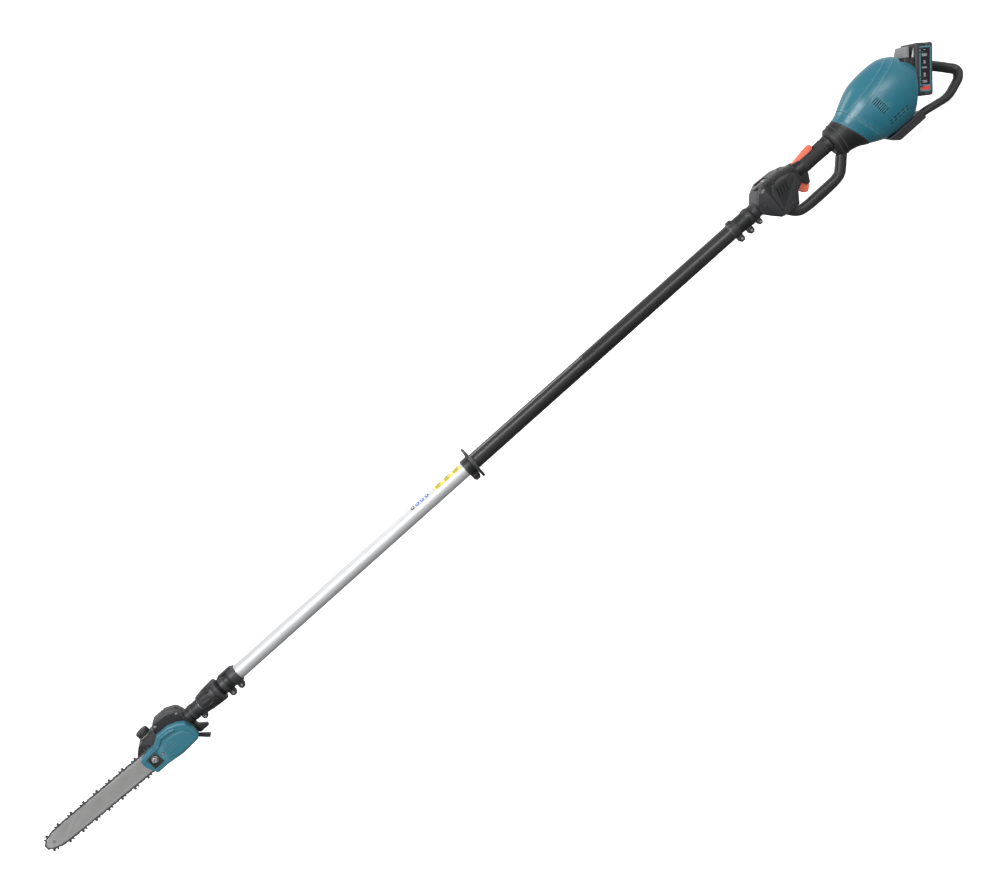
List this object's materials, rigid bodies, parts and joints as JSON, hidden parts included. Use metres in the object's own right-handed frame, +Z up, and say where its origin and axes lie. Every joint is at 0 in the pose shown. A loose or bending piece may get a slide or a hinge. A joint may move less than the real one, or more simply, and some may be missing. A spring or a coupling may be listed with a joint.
{
  "type": "telescoping pole saw",
  "caption": "Battery pole saw: a two-tube telescoping pole with a chainsaw head at the front and a loop handle, motor housing and slide-on battery at the rear.",
  "frame": {"origin": "on the pole's axis at the middle of the rear hand grip", "axes": "+X along the pole from the saw head to the motor, +Z up, -Y towards the sprocket cover's side"},
  "size_m": [2.7223, 0.1316, 0.1878],
  "materials": {
    "teal_plastic": "satin moulded",
    "black_plastic": "fine textured",
    "sleeve_black": "satin",
    "grey_plastic": "matte",
    "orange_plastic": "satin",
    "anodised_tube": "satin anodised",
    "bar_steel": "brushed",
    "dark_steel": "oiled",
    "copper": "wound",
    "screw_steel": "plated",
    "dark_glass": "gloss"
  },
  "bodies": {
    "pole": {"outer_tube": "anodised_tube", "pole_sleeve": "sleeve_black", "barrier_ring": "black_plastic", "rear_pipe_clamp": "black_plastic", "tube_lock_body": "black_plastic", "tube_lock_collet": "grey_plastic", "rear_rod_bush": "grey_plastic", "handle_shell_left": "black_plastic", "handle_shell_right": "black_plastic", "trigger_switch": "grey_plastic", "display_panel": "dark_glass", "loop_handle": "black_plastic", "motor_front_cover": "black_plastic", "motor_housing_left": "teal_plastic", "motor_housing_right": "teal_plastic", "motor_stator": "copper", "front_bearing": "screw_steel", "rear_bearing": "screw_steel", "motor_bracket": "grey_plastic", "motor_controller": "grey_plastic", "rear_guard": "black_plastic", "terminal_block": "grey_plastic"},
    "lock_sleeve": {"tube_lock_sleeve": "black_plastic"},
    "trigger": {"trigger": "orange_plastic"},
    "lock_off": {"lock_off_lever": "orange_plastic"},
    "mode_button": {"mode_button": "grey_plastic"},
    "battery": {"battery_case": "black_plastic", "battery_tray": "black_plastic", "battery_cells": "teal_plastic"},
    "battery_button": {"battery_button": "grey_plastic"},
    "motor_drive": {"motor_rotor": "dark_steel", "cooling_fan": "black_plastic", "rear_drive_rod": "dark_steel"},
    "head": {"inner_tube": "anodised_tube", "inner_tube_guide": "grey_plastic", "shaft_bush_1": "grey_plastic", "shaft_bush_2": "grey_plastic", "head_neck": "black_plastic", "gear_case": "black_plastic", "pinion_bearing": "screw_steel", "bar_seat": "dark_steel", "bar_stud": "screw_steel", "tension_screw": "screw_steel", "oil_tank": "black_plastic", "oil_pump": "grey_plastic", "branch_hook": "black_plastic", "lower_fin": "black_plastic"},
    "front_drive": {"front_drive_tube": "dark_steel", "bevel_pinion": "dark_steel"},
    "counter_drive": {"countershaft": "dark_steel", "bevel_gear": "dark_steel"},
    "sprocket_drive": {"sprocket_shaft": "dark_steel", "spur_gear": "dark_steel", "chain_sprocket": "dark_steel"},
    "bar": {"guide_bar": "bar_steel", "saw_chain": "dark_steel"},
    "nose": {"nose_sprocket": "dark_steel"},
    "cover": {"sprocket_cover": "teal_plastic"},
    "nut": {"bar_nut": "screw_steel"},
    "cap": {"oil_cap": "black_plastic"}
  },
  "joints": [
    {"name": "telescope", "type": "slide", "parent": "pole", "child": "head", "axis": [-1, 0, 0], "range_m": [0, 1.2]},
    {"name": "tube_lock_twist", "type": "hinge", "parent": "pole", "child": "lock_sleeve", "pos_m": [-1.815, 0, 0], "axis": [1, 0, 0], "range_deg": [0, 90]},
    {"name": "trigger_pull", "type": "hinge", "parent": "pole", "child": "trigger", "pos_m": [-0.074, 0, -0.013], "axis": [0, -1, 0], "range_deg": [0, 9], "stiffness_Nm_per_rad": 2, "springref_deg": -4.58},
    {"name": "lock_off_press", "type": "hinge", "parent": "pole", "child": "lock_off", "pos_m": [-0.043, 0, 0.019], "axis": [0, 1, 0], "range_deg": [0, 7], "stiffness_Nm_per_rad": 2, "springref_deg": -4.58},
    {"name": "mode_button_press", "type": "slide", "parent": "pole", "child": "mode_button", "axis": [0, 0, -1], "range_m": [0, 0.0012], "stiffness_N_per_m": 600, "springref_m": -0.001},
    {"name": "battery_slide", "type": "slide", "parent": "pole", "child": "battery", "axis": [0.6, 0, 0.8], "range_m": [0, 0.11]},
    {"name": "battery_button_press", "type": "slide", "parent": "battery", "child": "battery_button", "axis": [0.8, 0, -0.6], "range_m": [0, 0.0035], "stiffness_N_per_m": 600, "springref_m": -0.001},
    {"name": "motor_spin", "type": "hinge", "parent": "pole", "child": "motor_drive", "pos_m": [0.15, 0, 0], "axis": [1, 0, 0], "continuous": true},
    {"name": "front_drive_spin", "type": "hinge", "parent": "head", "child": "front_drive", "pos_m": [-1.9, 0, 0], "axis": [1, 0, 0], "continuous": true},
    {"name": "counter_spin", "type": "hinge", "parent": "head", "child": "counter_drive", "pos_m": [-1.934, 0, 0], "axis": [0, 1, 0], "continuous": true},
    {"name": "sprocket_spin", "type": "hinge", "parent": "head", "child": "sprocket_drive", "pos_m": [-1.912, 0, -0.016], "axis": [0, 1, 0], "continuous": true},
    {"name": "bar_adjust", "type": "slide", "parent": "head", "child": "bar", "axis": [1, 0, 0], "range_m": [0, 0.003]},
    {"name": "nose_spin", "type": "hinge", "parent": "bar", "child": "nose", "pos_m": [-2.28679, -0.021, -0.00357], "axis": [0, 1, 0], "continuous": true},
    {"name": "cover_lift", "type": "slide", "parent": "head", "child": "cover", "axis": [0, -1, 0], "range_m": [0, 0.06]},
    {"name": "bar_nut_turn", "type": "hinge", "parent": "cover", "child": "nut", "pos_m": [-1.99196, -0.042, -0.01335], "axis": [0, 1, 0], "continuous": true},
    {"name": "oil_cap_turn", "type": "hinge", "parent": "head", "child": "cap", "pos_m": [-1.984, 0.011, 0.04], "axis": [0, 0, 1], "range_deg": [0, 270]}
  ],
  "couplings": [
    {"joint": "front_drive_spin", "follows": "motor_spin", "ratio": 1},
    {"joint": "counter_spin", "follows": "motor_spin", "ratio": -0.66667},
    {"joint": "sprocket_spin", "follows": "motor_spin", "ratio": 0.37681},
    {"joint": "nose_spin", "follows": "motor_spin", "ratio": 0.25121}
  ]
}
